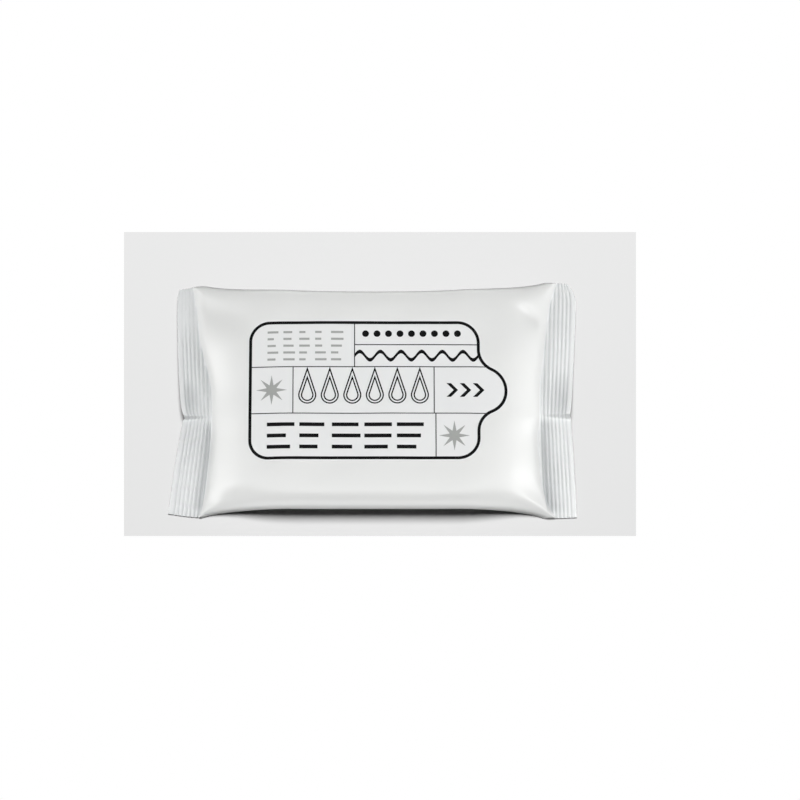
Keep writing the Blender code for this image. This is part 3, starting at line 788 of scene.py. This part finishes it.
def lay_on_film(obj, lift, thickness, material, node=None):
    """Thickens a flat piece, lays it on the film, and hands it over as a finished piece."""
    work = bmesh.new()
    work.from_mesh(obj.data)
    raised = bmesh.ops.extrude_face_region(work, geom=list(work.faces))
    moved = [item for item in raised["geom"] if isinstance(item, bmesh.types.BMVert)]
    bmesh.ops.translate(work, verts=moved, vec=(0, 0, thickness))
    places = np.array([vert.co for vert in work.verts])
    heights = on_film(places[:, 0], places[:, 1]) + lift
    for vert, height in zip(work.verts, heights):
        vert.co.z += height
    bmesh.ops.recalc_face_normals(work, faces=work.faces)
    work.to_mesh(obj.data)
    work.free()
    obj.data.shade_smooth()
    obj.data.set_sharp_from_angle(angle=EDGE_ANGLE)
    obj.data.materials.clear()
    obj.data.materials.append(material)
    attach(obj, "root")
    if node:
        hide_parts(node)


# Polypropylene label film under a satin varnish: whiter and a little smoother than the pouch.
LABEL_GRAIN = 0.00238
LABEL_PATCHES = 0.0222

label_film, tree, shader, place = new_material("satin_label_film")
fibre = add(tree, "ShaderNodeTexNoise", {"Vector": place, "Scale": 1 / LABEL_GRAIN, "Detail": 3.0})
broad = add(tree, "ShaderNodeTexNoise", {"Vector": place, "Scale": 1 / LABEL_PATCHES, "Detail": 1.0})
tint = add(tree, "ShaderNodeMix", {"Factor": broad.outputs["Fac"]}, data_type="RGBA")
tint.inputs["A"].default_value = linear("#F1F2F2")
tint.inputs["B"].default_value = linear("#F4F5F5")
tree.links.new(tint.outputs["Result"], shader.inputs["Base Color"])
gloss = add(tree, "ShaderNodeMapRange", {"Value": fibre.outputs["Fac"], "To Min": 0.30, "To Max": 0.40})
tree.links.new(gloss.outputs["Result"], shader.inputs["Roughness"])
bump = add(tree, "ShaderNodeBump", {"Height": fibre.outputs["Fac"], "Strength": 0.08, "Distance": 0.0002})
tree.links.new(bump.outputs["Normal"], shader.inputs["Normal"])
shader.inputs["IOR"].default_value = FILM_IOR

label = flat_piece("reseal_sticker", [label_outline(0.0)])
lay_on_film(label, GLUE, LABEL_THICKNESS, label_film, "reseal_label")


# The black print
# Flexographic ink under the label's varnish: a heavy border inside the cut edge, fine rules that part
# the label into cells, a row of double-lined drops, and a band of waves.

BORDER_MARGIN = 0.0006
BORDER_WIDTH = 0.0011
RULE_WIDTH = 0.00035
PRINT_MARGIN = 0.0022
MIDDLE_BAND = 0.0176
DASH_CELL = 0.0380
DROP_HEIGHT = 0.0140
DROP_WIDTH = 0.0066
DROP_LINE = 0.00048
DROP_LINE_GAP = 0.00052
DROP_PITCH = 0.0082
DROP_COUNT = 6
WAVE_HEIGHT = 0.0016
WAVE_LINE = 0.0014
WAVE_COUNT = 6
WAVE_STEPS = 16
FLOWER_RADIUS = 0.0056
INK = 0.00001
INK_GAP = 0.00002
INK_GRAIN = 0.00111
PRINT_LIFT = GLUE + LABEL_THICKNESS + INK_GAP

border = BORDER_MARGIN + BORDER_WIDTH / 2
right_x = LABEL_LENGTH / 2 + LABEL_OFFSET_X - border
left_x = right_x + 2 * border - LABEL_LENGTH
middle_y = LABEL_OFFSET_Y
top_y = middle_y + LABEL_WIDTH / 2 - border
bottom_y = middle_y - LABEL_WIDTH / 2 + border
upper_y = middle_y + MIDDLE_BAND / 2
lower_y = middle_y - MIDDLE_BAND / 2
flower_cell = 2 * (FLOWER_RADIUS + PRINT_MARGIN)
flower_wall = left_x + flower_cell
drops_wall = flower_wall + DROP_PITCH * DROP_COUNT + PRINT_MARGIN
dash_wall = left_x + DASH_CELL
low_wall = right_x - flower_cell
half_row = (top_y + upper_y) / 2


def band(outer, inner):
    """A closed strip between two outlines that have the same number of points."""
    count = len(outer)
    following = [(i + 1) % count for i in range(count)]
    return [(outer[i], outer[after], inner[after], inner[i]) for i, after in enumerate(following)]


def bar(start, end, width):
    """A straight strip from one point to the other."""
    length = math.dist(start, end)
    side_x = -(end[1] - start[1]) / length * width / 2
    side_y = (end[0] - start[0]) / length * width / 2
    return [
        (start[0] - side_x, start[1] - side_y),
        (end[0] - side_x, end[1] - side_y),
        (end[0] + side_x, end[1] + side_y),
        (start[0] + side_x, start[1] + side_y),
    ]


def drop_outline(tip, width, height):
    """A water drop that hangs from its tip."""
    radius = width / 2
    round_centre = (tip[0], tip[1] - height + radius)
    lean = math.asin(radius / (tip[1] - round_centre[1]))
    return [tip] + arc(round_centre, radius, math.pi - lean, 2 * math.pi + lean)


def inner_drop(tip, width, height, inset):
    """The tip, width and height of a drop of the same shape, an even distance inside another."""
    scale = 1 - 2 * inset / width
    return (tip[0], tip[1] - height + inset + height * scale), width * scale, height * scale


def drop_ring(tip, width, height, line):
    """A drop drawn as a line. Both outlines have the same lean, so that their points pair up."""
    return band(drop_outline(tip, width, height), drop_outline(*inner_drop(tip, width, height, line)))


# Black ink of the label, dried under varnish. It has the label's satin face, only much darker.
black_ink, tree, shader, place = new_material("varnished_black_ink")
grain = add(tree, "ShaderNodeTexNoise", {"Vector": place, "Scale": 1 / INK_GRAIN, "Detail": 2.0})
tint = add(tree, "ShaderNodeMix", {"Factor": grain.outputs["Fac"]}, data_type="RGBA")
tint.inputs["A"].default_value = linear("#0A0A0B")
tint.inputs["B"].default_value = linear("#151516")
tree.links.new(tint.outputs["Result"], shader.inputs["Base Color"])
gloss = add(tree, "ShaderNodeMapRange", {"Value": grain.outputs["Fac"], "To Min": 0.40, "To Max": 0.52})
tree.links.new(gloss.outputs["Result"], shader.inputs["Roughness"])
shader.inputs["Specular IOR Level"].default_value = 0.08

# The two long rules run on into the tab, to where its border crosses them.
rule_end = right_x + TAB_HOLLOW / 2
shapes = band(label_outline(BORDER_MARGIN), label_outline(BORDER_MARGIN + BORDER_WIDTH))
for height in (upper_y, lower_y):
    shapes.append(bar((left_x, height), (rule_end, height), RULE_WIDTH))
for wall in (flower_wall, drops_wall):
    shapes.append(bar((wall, lower_y), (wall, upper_y), RULE_WIDTH))
shapes.append(bar((dash_wall, upper_y), (dash_wall, top_y), RULE_WIDTH))
shapes.append(bar((dash_wall, half_row), (right_x, half_row), RULE_WIDTH))
shapes.append(bar((low_wall, bottom_y), (low_wall, lower_y), RULE_WIDTH))
first_drop = flower_wall + PRINT_MARGIN / 2 + DROP_PITCH / 2
for i in range(DROP_COUNT):
    tip = (first_drop + i * DROP_PITCH, upper_y)
    for inset in (0.0, DROP_LINE + DROP_LINE_GAP):
        shapes += drop_ring(*inner_drop(tip, DROP_WIDTH, DROP_HEIGHT, inset), DROP_LINE)
wave_y = (half_row + upper_y) / 2
half_line = WAVE_LINE / 2
spine = []
for i in range(WAVE_COUNT * WAVE_STEPS + 1):
    wave_x = dash_wall + (right_x - dash_wall) * i / (WAVE_COUNT * WAVE_STEPS)
    spine.append((wave_x, wave_y + WAVE_HEIGHT * math.sin(2 * math.pi * i / WAVE_STEPS)))
for (x0, y0), (x1, y1) in zip(spine, spine[1:]):
    shapes.append([(x0, y0 - half_line), (x1, y1 - half_line), (x1, y1 + half_line), (x0, y0 + half_line)])
black_print = flat_piece("black_border_and_rules", shapes)
lay_on_film(black_print, PRINT_LIFT, INK, black_ink, "label_black_print")


# The grey print
# A second ink, pale grey, prints a flower in one cell of the middle band and in one of the bottom band.
# It lies beside the black, under the same varnish.

PETAL_COUNT = 8
FLOWER_HUB = 0.0019

grey_ink, tree, shader, place = new_material("varnished_grey_ink")
grain = add(tree, "ShaderNodeTexNoise", {"Vector": place, "Scale": 1 / INK_GRAIN, "Detail": 2.0})
tint = add(tree, "ShaderNodeMix", {"Factor": grain.outputs["Fac"]}, data_type="RGBA")
tint.inputs["A"].default_value = linear("#A5A7A5")
tint.inputs["B"].default_value = linear("#ADAFAC")
tree.links.new(tint.outputs["Result"], shader.inputs["Base Color"])
gloss = add(tree, "ShaderNodeMapRange", {"Value": grain.outputs["Fac"], "To Min": 0.34, "To Max": 0.44})
tree.links.new(gloss.outputs["Result"], shader.inputs["Roughness"])


def flower(centre):
    """A flower of pointed petals that meet in the middle."""
    outline = []
    for i in range(2 * PETAL_COUNT):
        radius = FLOWER_HUB if i % 2 else FLOWER_RADIUS
        angle = math.pi * i / PETAL_COUNT
        outline.append((centre[0] + radius * math.cos(angle), centre[1] + radius * math.sin(angle)))
    return outline


left_centre = (left_x + FLOWER_RADIUS + PRINT_MARGIN, middle_y)
left_flower = flat_piece("flower_middle_band", [flower(left_centre)])
lay_on_film(left_flower, PRINT_LIFT, INK, grey_ink, "grey_flower_left")
right_centre = (low_wall + FLOWER_RADIUS + PRINT_MARGIN / 2, (lower_y + bottom_y) / 2)
right_flower = flat_piece("flower_bottom_band", [flower(right_centre)])
lay_on_film(right_flower, PRINT_LIFT, INK, grey_ink, "grey_flower_right")


# The repeated marks
# Small printed marks fill the other cells: lines of grey dashes, a row of dots, bars and arrowheads.
# They are printed with the same two inks, and each kind is one mark repeated in columns and rows.

marks_tree, sockets = new_geometry_tree(
    "repeated_marks",
    {
        "Columns": "Int",
        "Rows": "Int",
        "Column step": "Vector",
        "Row step": "Vector",
        "Shortest": "Float",
        "Seed": "Int",
        "Material": "Material",
    },
)
across_line = {"Count": sockets["Columns"], "Offset": sockets["Column step"]}
column = add(marks_tree, "GeometryNodeMeshLine", across_line, mode="OFFSET")
down_line = {"Count": sockets["Rows"], "Offset": sockets["Row step"]}
row = add(marks_tree, "GeometryNodeMeshLine", down_line, mode="OFFSET")
one_line_each = {"Points": row.outputs[0], "Instance": column.outputs[0]}
rows = add(marks_tree, "GeometryNodeInstanceOnPoints", one_line_each)
grid = add(marks_tree, "GeometryNodeRealizeInstances", {"Geometry": rows.outputs[0]})
length = add(marks_tree, "FunctionNodeRandomValue", data_type="FLOAT")
marks_tree.links.new(sockets["Shortest"], length.inputs[2])
length.inputs[3].default_value = 1.0
marks_tree.links.new(sockets["Seed"], length.inputs["Seed"])
stretch = add(marks_tree, "ShaderNodeCombineXYZ", {"X": length.outputs[1], "Y": 1.0, "Z": 1.0})
marks = add(
    marks_tree,
    "GeometryNodeInstanceOnPoints",
    {"Points": grid.outputs[0], "Instance": sockets["Geometry"], "Scale": stretch.outputs[0]},
)
end_tree(marks_tree, marks.outputs[0], sockets["Material"])


def repeat_mark(name, mark, corner, count, step, material, shortest=1.0, seed=1):
    """Repeats a mark drawn round the origin in columns and rows from a corner to the right and down.

    Each mark is shortened to a random share of its length, between shortest and 1."""
    obj = flat_piece(name, [mark])
    values = {
        "Columns": count[0],
        "Rows": count[1],
        "Column step": (step[0], 0.0, 0.0),
        "Row step": (0.0, -step[1], 0.0),
        "Shortest": shortest,
        "Seed": seed,
        "Material": material,
    }
    grow(obj, marks_tree, values)
    places = np.empty(len(obj.data.vertices) * 3)
    obj.data.vertices.foreach_get("co", places)
    places = places.reshape(-1, 3) + (corner[0], corner[1], 0.0)
    obj.data.vertices.foreach_set("co", places.reshape(-1))
    lay_on_film(obj, PRINT_LIFT, INK, material)


# Each margin is from a wall of the cell to the origin that its first mark is drawn round.
LINE_MARGIN = 0.0062
DASH_LENGTH = 0.0046
DASH_WIDTH = 0.0008
DASH_TOP_MARGIN = 0.0036
DASH_CORNER = (left_x + LINE_MARGIN, top_y - DASH_TOP_MARGIN)
DASH_COUNT = (5, 5)
DASH_STEP = (0.0058, 0.0026)
dash = bar((0.0, 0.0), (DASH_LENGTH, 0.0), DASH_WIDTH)
repeat_mark(
    "grey_dashes", dash, DASH_CORNER, DASH_COUNT, DASH_STEP, grey_ink, shortest=0.45, seed=7
)

DOT_RADIUS = 0.00125
DOT_POINTS = 24
DOT_MARGIN = 0.0040
DOT_CORNER = (dash_wall + DOT_MARGIN, (top_y + half_row) / 2)
DOT_COUNT = (9, 1)
DOT_STEP = (0.0042, 0.0)
dot_turns = [2 * math.pi * i / DOT_POINTS for i in range(DOT_POINTS)]
dot = [(DOT_RADIUS * math.cos(turn), DOT_RADIUS * math.sin(turn)) for turn in dot_turns]
repeat_mark("black_dots", dot, DOT_CORNER, DOT_COUNT, DOT_STEP, black_ink)

BAR_LENGTH = 0.0105
BAR_WIDTH = 0.0014
BAR_TOP_MARGIN = 0.0042
BAR_CORNER = (left_x + LINE_MARGIN, lower_y - BAR_TOP_MARGIN)
BAR_COUNT = (5, 3)
BAR_STEP = (0.0118, 0.0042)
short_bar = bar((0.0, 0.0), (BAR_LENGTH, 0.0), BAR_WIDTH)
repeat_mark(
    "black_bars", short_bar, BAR_CORNER, BAR_COUNT, BAR_STEP, black_ink, shortest=0.55, seed=3
)

ARROW_HALF = 0.0026
ARROW_STROKE = 0.0016
ARROW_MARGIN = 0.0045
ARROW_CORNER = (drops_wall + ARROW_MARGIN, middle_y)
ARROW_COUNT = (3, 1)
ARROW_STEP = (0.0048, 0.0)
arrow = [
    (0.0, ARROW_HALF),
    (ARROW_STROKE, ARROW_HALF),
    (ARROW_STROKE + ARROW_HALF, 0.0),
    (ARROW_STROKE, -ARROW_HALF),
    (0.0, -ARROW_HALF),
    (ARROW_HALF, 0.0),
]
repeat_mark("black_arrows", arrow, ARROW_CORNER, ARROW_COUNT, ARROW_STEP, black_ink)


# The studio
# The pack lies on a pale grey card on a white table. The card and the table have a strong light of their
# own, and the pack has a large soft box overhead and two at each end, a little stronger at the right.

PIXELS = 800
CAMERA_ELEVATION = math.radians(74)
CAMERA_DISTANCE = 1.35
METRES_PER_PIXEL = 0.000366
SENSOR = 0.036
MILLIMETRES_PER_METRE = 1000
AIM = Vector((0.0, BODY_OFFSET, 0.006))
PACK_PIXEL_X = 374
NEAREST_SEEN = 0.1
FARTHEST_SEEN = 20

lens = SENSOR * CAMERA_DISTANCE / (PIXELS * METRES_PER_PIXEL)
camera_data = bpy.data.cameras.new("camera")
camera_data.sensor_width = SENSOR * MILLIMETRES_PER_METRE
camera_data.lens = lens * MILLIMETRES_PER_METRE
camera_data.shift_x = (PIXELS / 2 - PACK_PIXEL_X) / PIXELS
camera_data.clip_start = NEAREST_SEEN
camera_data.clip_end = FARTHEST_SEEN
camera = new_object("camera", camera_data)
back = Vector((0.0, -math.cos(CAMERA_ELEVATION), math.sin(CAMERA_ELEVATION)))
camera.location = AIM + back * CAMERA_DISTANCE
camera.rotation_euler = (-back).to_track_quat("-Z", "Y").to_euler()
bpy.context.scene.camera = camera


def on_table(pixel_x, pixel_y):
    """The point of the table that the camera sees at a pixel."""
    right = Vector((1.0, 0.0, 0.0))
    up = back.cross(right)
    across = (pixel_x - PIXELS / 2) / PIXELS + camera_data.shift_x
    along_up = (PIXELS / 2 - pixel_y) / PIXELS
    ray = -back * lens + (right * across + up * along_up) * SENSOR
    return camera.location - ray * (camera.location.z / ray.z)


def flat_sheet(name, corners, height, material):
    """A level sheet of the stage, from its corners in plan."""
    mesh = bpy.data.meshes.new(name)
    mesh.from_pydata([(x, y, height) for x, y in corners], [], [(0, 1, 2, 3)])
    mesh.materials.append(material)
    sheet = new_object(name, mesh)


# A matt white table. The camera sees plain white, and other rays see a grey paint that throws little
# light back onto the sides of the pack.
table_paint, tree, shader, place = new_material("matt_white_table")
shader.inputs["Base Color"].default_value = linear("#CCCCCC")
shader.inputs["Roughness"].default_value = 0.9
seen = add(tree, "ShaderNodeLightPath")
white = add(tree, "ShaderNodeEmission", {"Color": linear("#FFFFFF"), "Strength": 1.0})
table_mix = add(
    tree,
    "ShaderNodeMixShader",
    {0: seen.outputs["Is Camera Ray"], 1: shader.outputs[0], 2: white.outputs[0]},
)
tree.links.new(table_mix.outputs[0], tree.nodes["Material Output"].inputs["Surface"])

# Matt grey card. Its own strong light makes it pale, so that little of it is light off the pack. The
# camera sees the paler of its two tones, and other rays the darker, which throws less light back up.
card_paper, tree, shader, place = new_material("matt_grey_card")
seen = add(tree, "ShaderNodeLightPath")
tone = add(tree, "ShaderNodeMix", {"Factor": seen.outputs["Is Camera Ray"]}, data_type="RGBA")
tone.inputs["A"].default_value = linear("#3A3A3A")
tone.inputs["B"].default_value = linear("#959595")
tree.links.new(tone.outputs["Result"], shader.inputs["Base Color"])
shader.inputs["Roughness"].default_value = 0.95
shader.inputs["Specular IOR Level"].default_value = 0.0

# Both sheets lie a little under the pack. The card's corners are named by the pixels they show at.
CARD_LEFT = 124
CARD_TOP = 232
CARD_RIGHT = 636
CARD_BOTTOM = 536
CARD_HEIGHT = -0.00005
TABLE_HALF = 4
TABLE_HEIGHT = -0.0012

card_corners = [
    on_table(CARD_LEFT, CARD_BOTTOM).to_2d(),
    on_table(CARD_RIGHT, CARD_BOTTOM).to_2d(),
    on_table(CARD_RIGHT, CARD_TOP).to_2d(),
    on_table(CARD_LEFT, CARD_TOP).to_2d(),
]
table_corners = [(x * TABLE_HALF, y * TABLE_HALF) for x, y in ((-1, -1), (1, -1), (1, 1), (-1, 1))]
flat_sheet("card", card_corners, CARD_HEIGHT, card_paper)
flat_sheet("table", table_corners, TABLE_HEIGHT, table_paint)

# The soft boxes: name, place, width and length, and power in watts
CARD_LIGHT = ("card_overhead", (0.0, 0.50, 1.85), (0.75, 0.75), 104.5)
PACK_LIGHTS = (
    ("pack_overhead", (0.0, -0.22, 1.9), (1.2, 1.2), 10.4),
    ("pack_right_high", (1.15, 0.0, 1.28), (0.6, 1.6), 9.9),
    ("pack_left_high", (-1.15, 0.0, 1.28), (0.6, 1.6), 9.0),
    ("pack_right_low", (1.52, 0.0, 0.50), (0.4, 0.8), 8.6),
    ("pack_left_low", (-1.52, 0.0, 0.50), (0.4, 0.8), 7.0),
)


def soft_light(name, place, size, power, receivers):
    """A soft box that faces the pack and lights only the objects of a collection."""
    data = bpy.data.lights.new(name, "AREA")
    data.shape = "RECTANGLE"
    data.size, data.size_y = size
    data.energy = power
    light = new_object(name, data)
    light.location = place
    light.rotation_euler = (-light.location).to_track_quat("-Z", "Y").to_euler()
    light.light_linking.receiver_collection = receivers


card_and_table = bpy.data.collections.new("card_and_table")
pack = bpy.data.collections.new("pack")
for obj in bpy.context.scene.objects:
    if obj.type == "MESH":
        group = card_and_table if obj.name in ("card", "table") else pack
        group.objects.link(obj)
soft_light(*CARD_LIGHT, card_and_table)
for pack_light in PACK_LIGHTS:
    soft_light(*pack_light, pack)

# White surroundings for the camera, which throw only a trace of light
world = bpy.data.worlds.new("studio")
world.use_nodes = True
bpy.context.scene.world = world
tree = world.node_tree
background = tree.nodes["Background"]
seen = add(tree, "ShaderNodeLightPath")
brightness = {"Value": seen.outputs["Is Camera Ray"], "To Min": 0.03, "To Max": 1.0}
strength = add(tree, "ShaderNodeMapRange", brightness)
tree.links.new(strength.outputs["Result"], background.inputs["Strength"])
background.inputs["Color"].default_value = linear("#FFFFFF")

bpy.context.scene.view_settings.view_transform = "Standard"
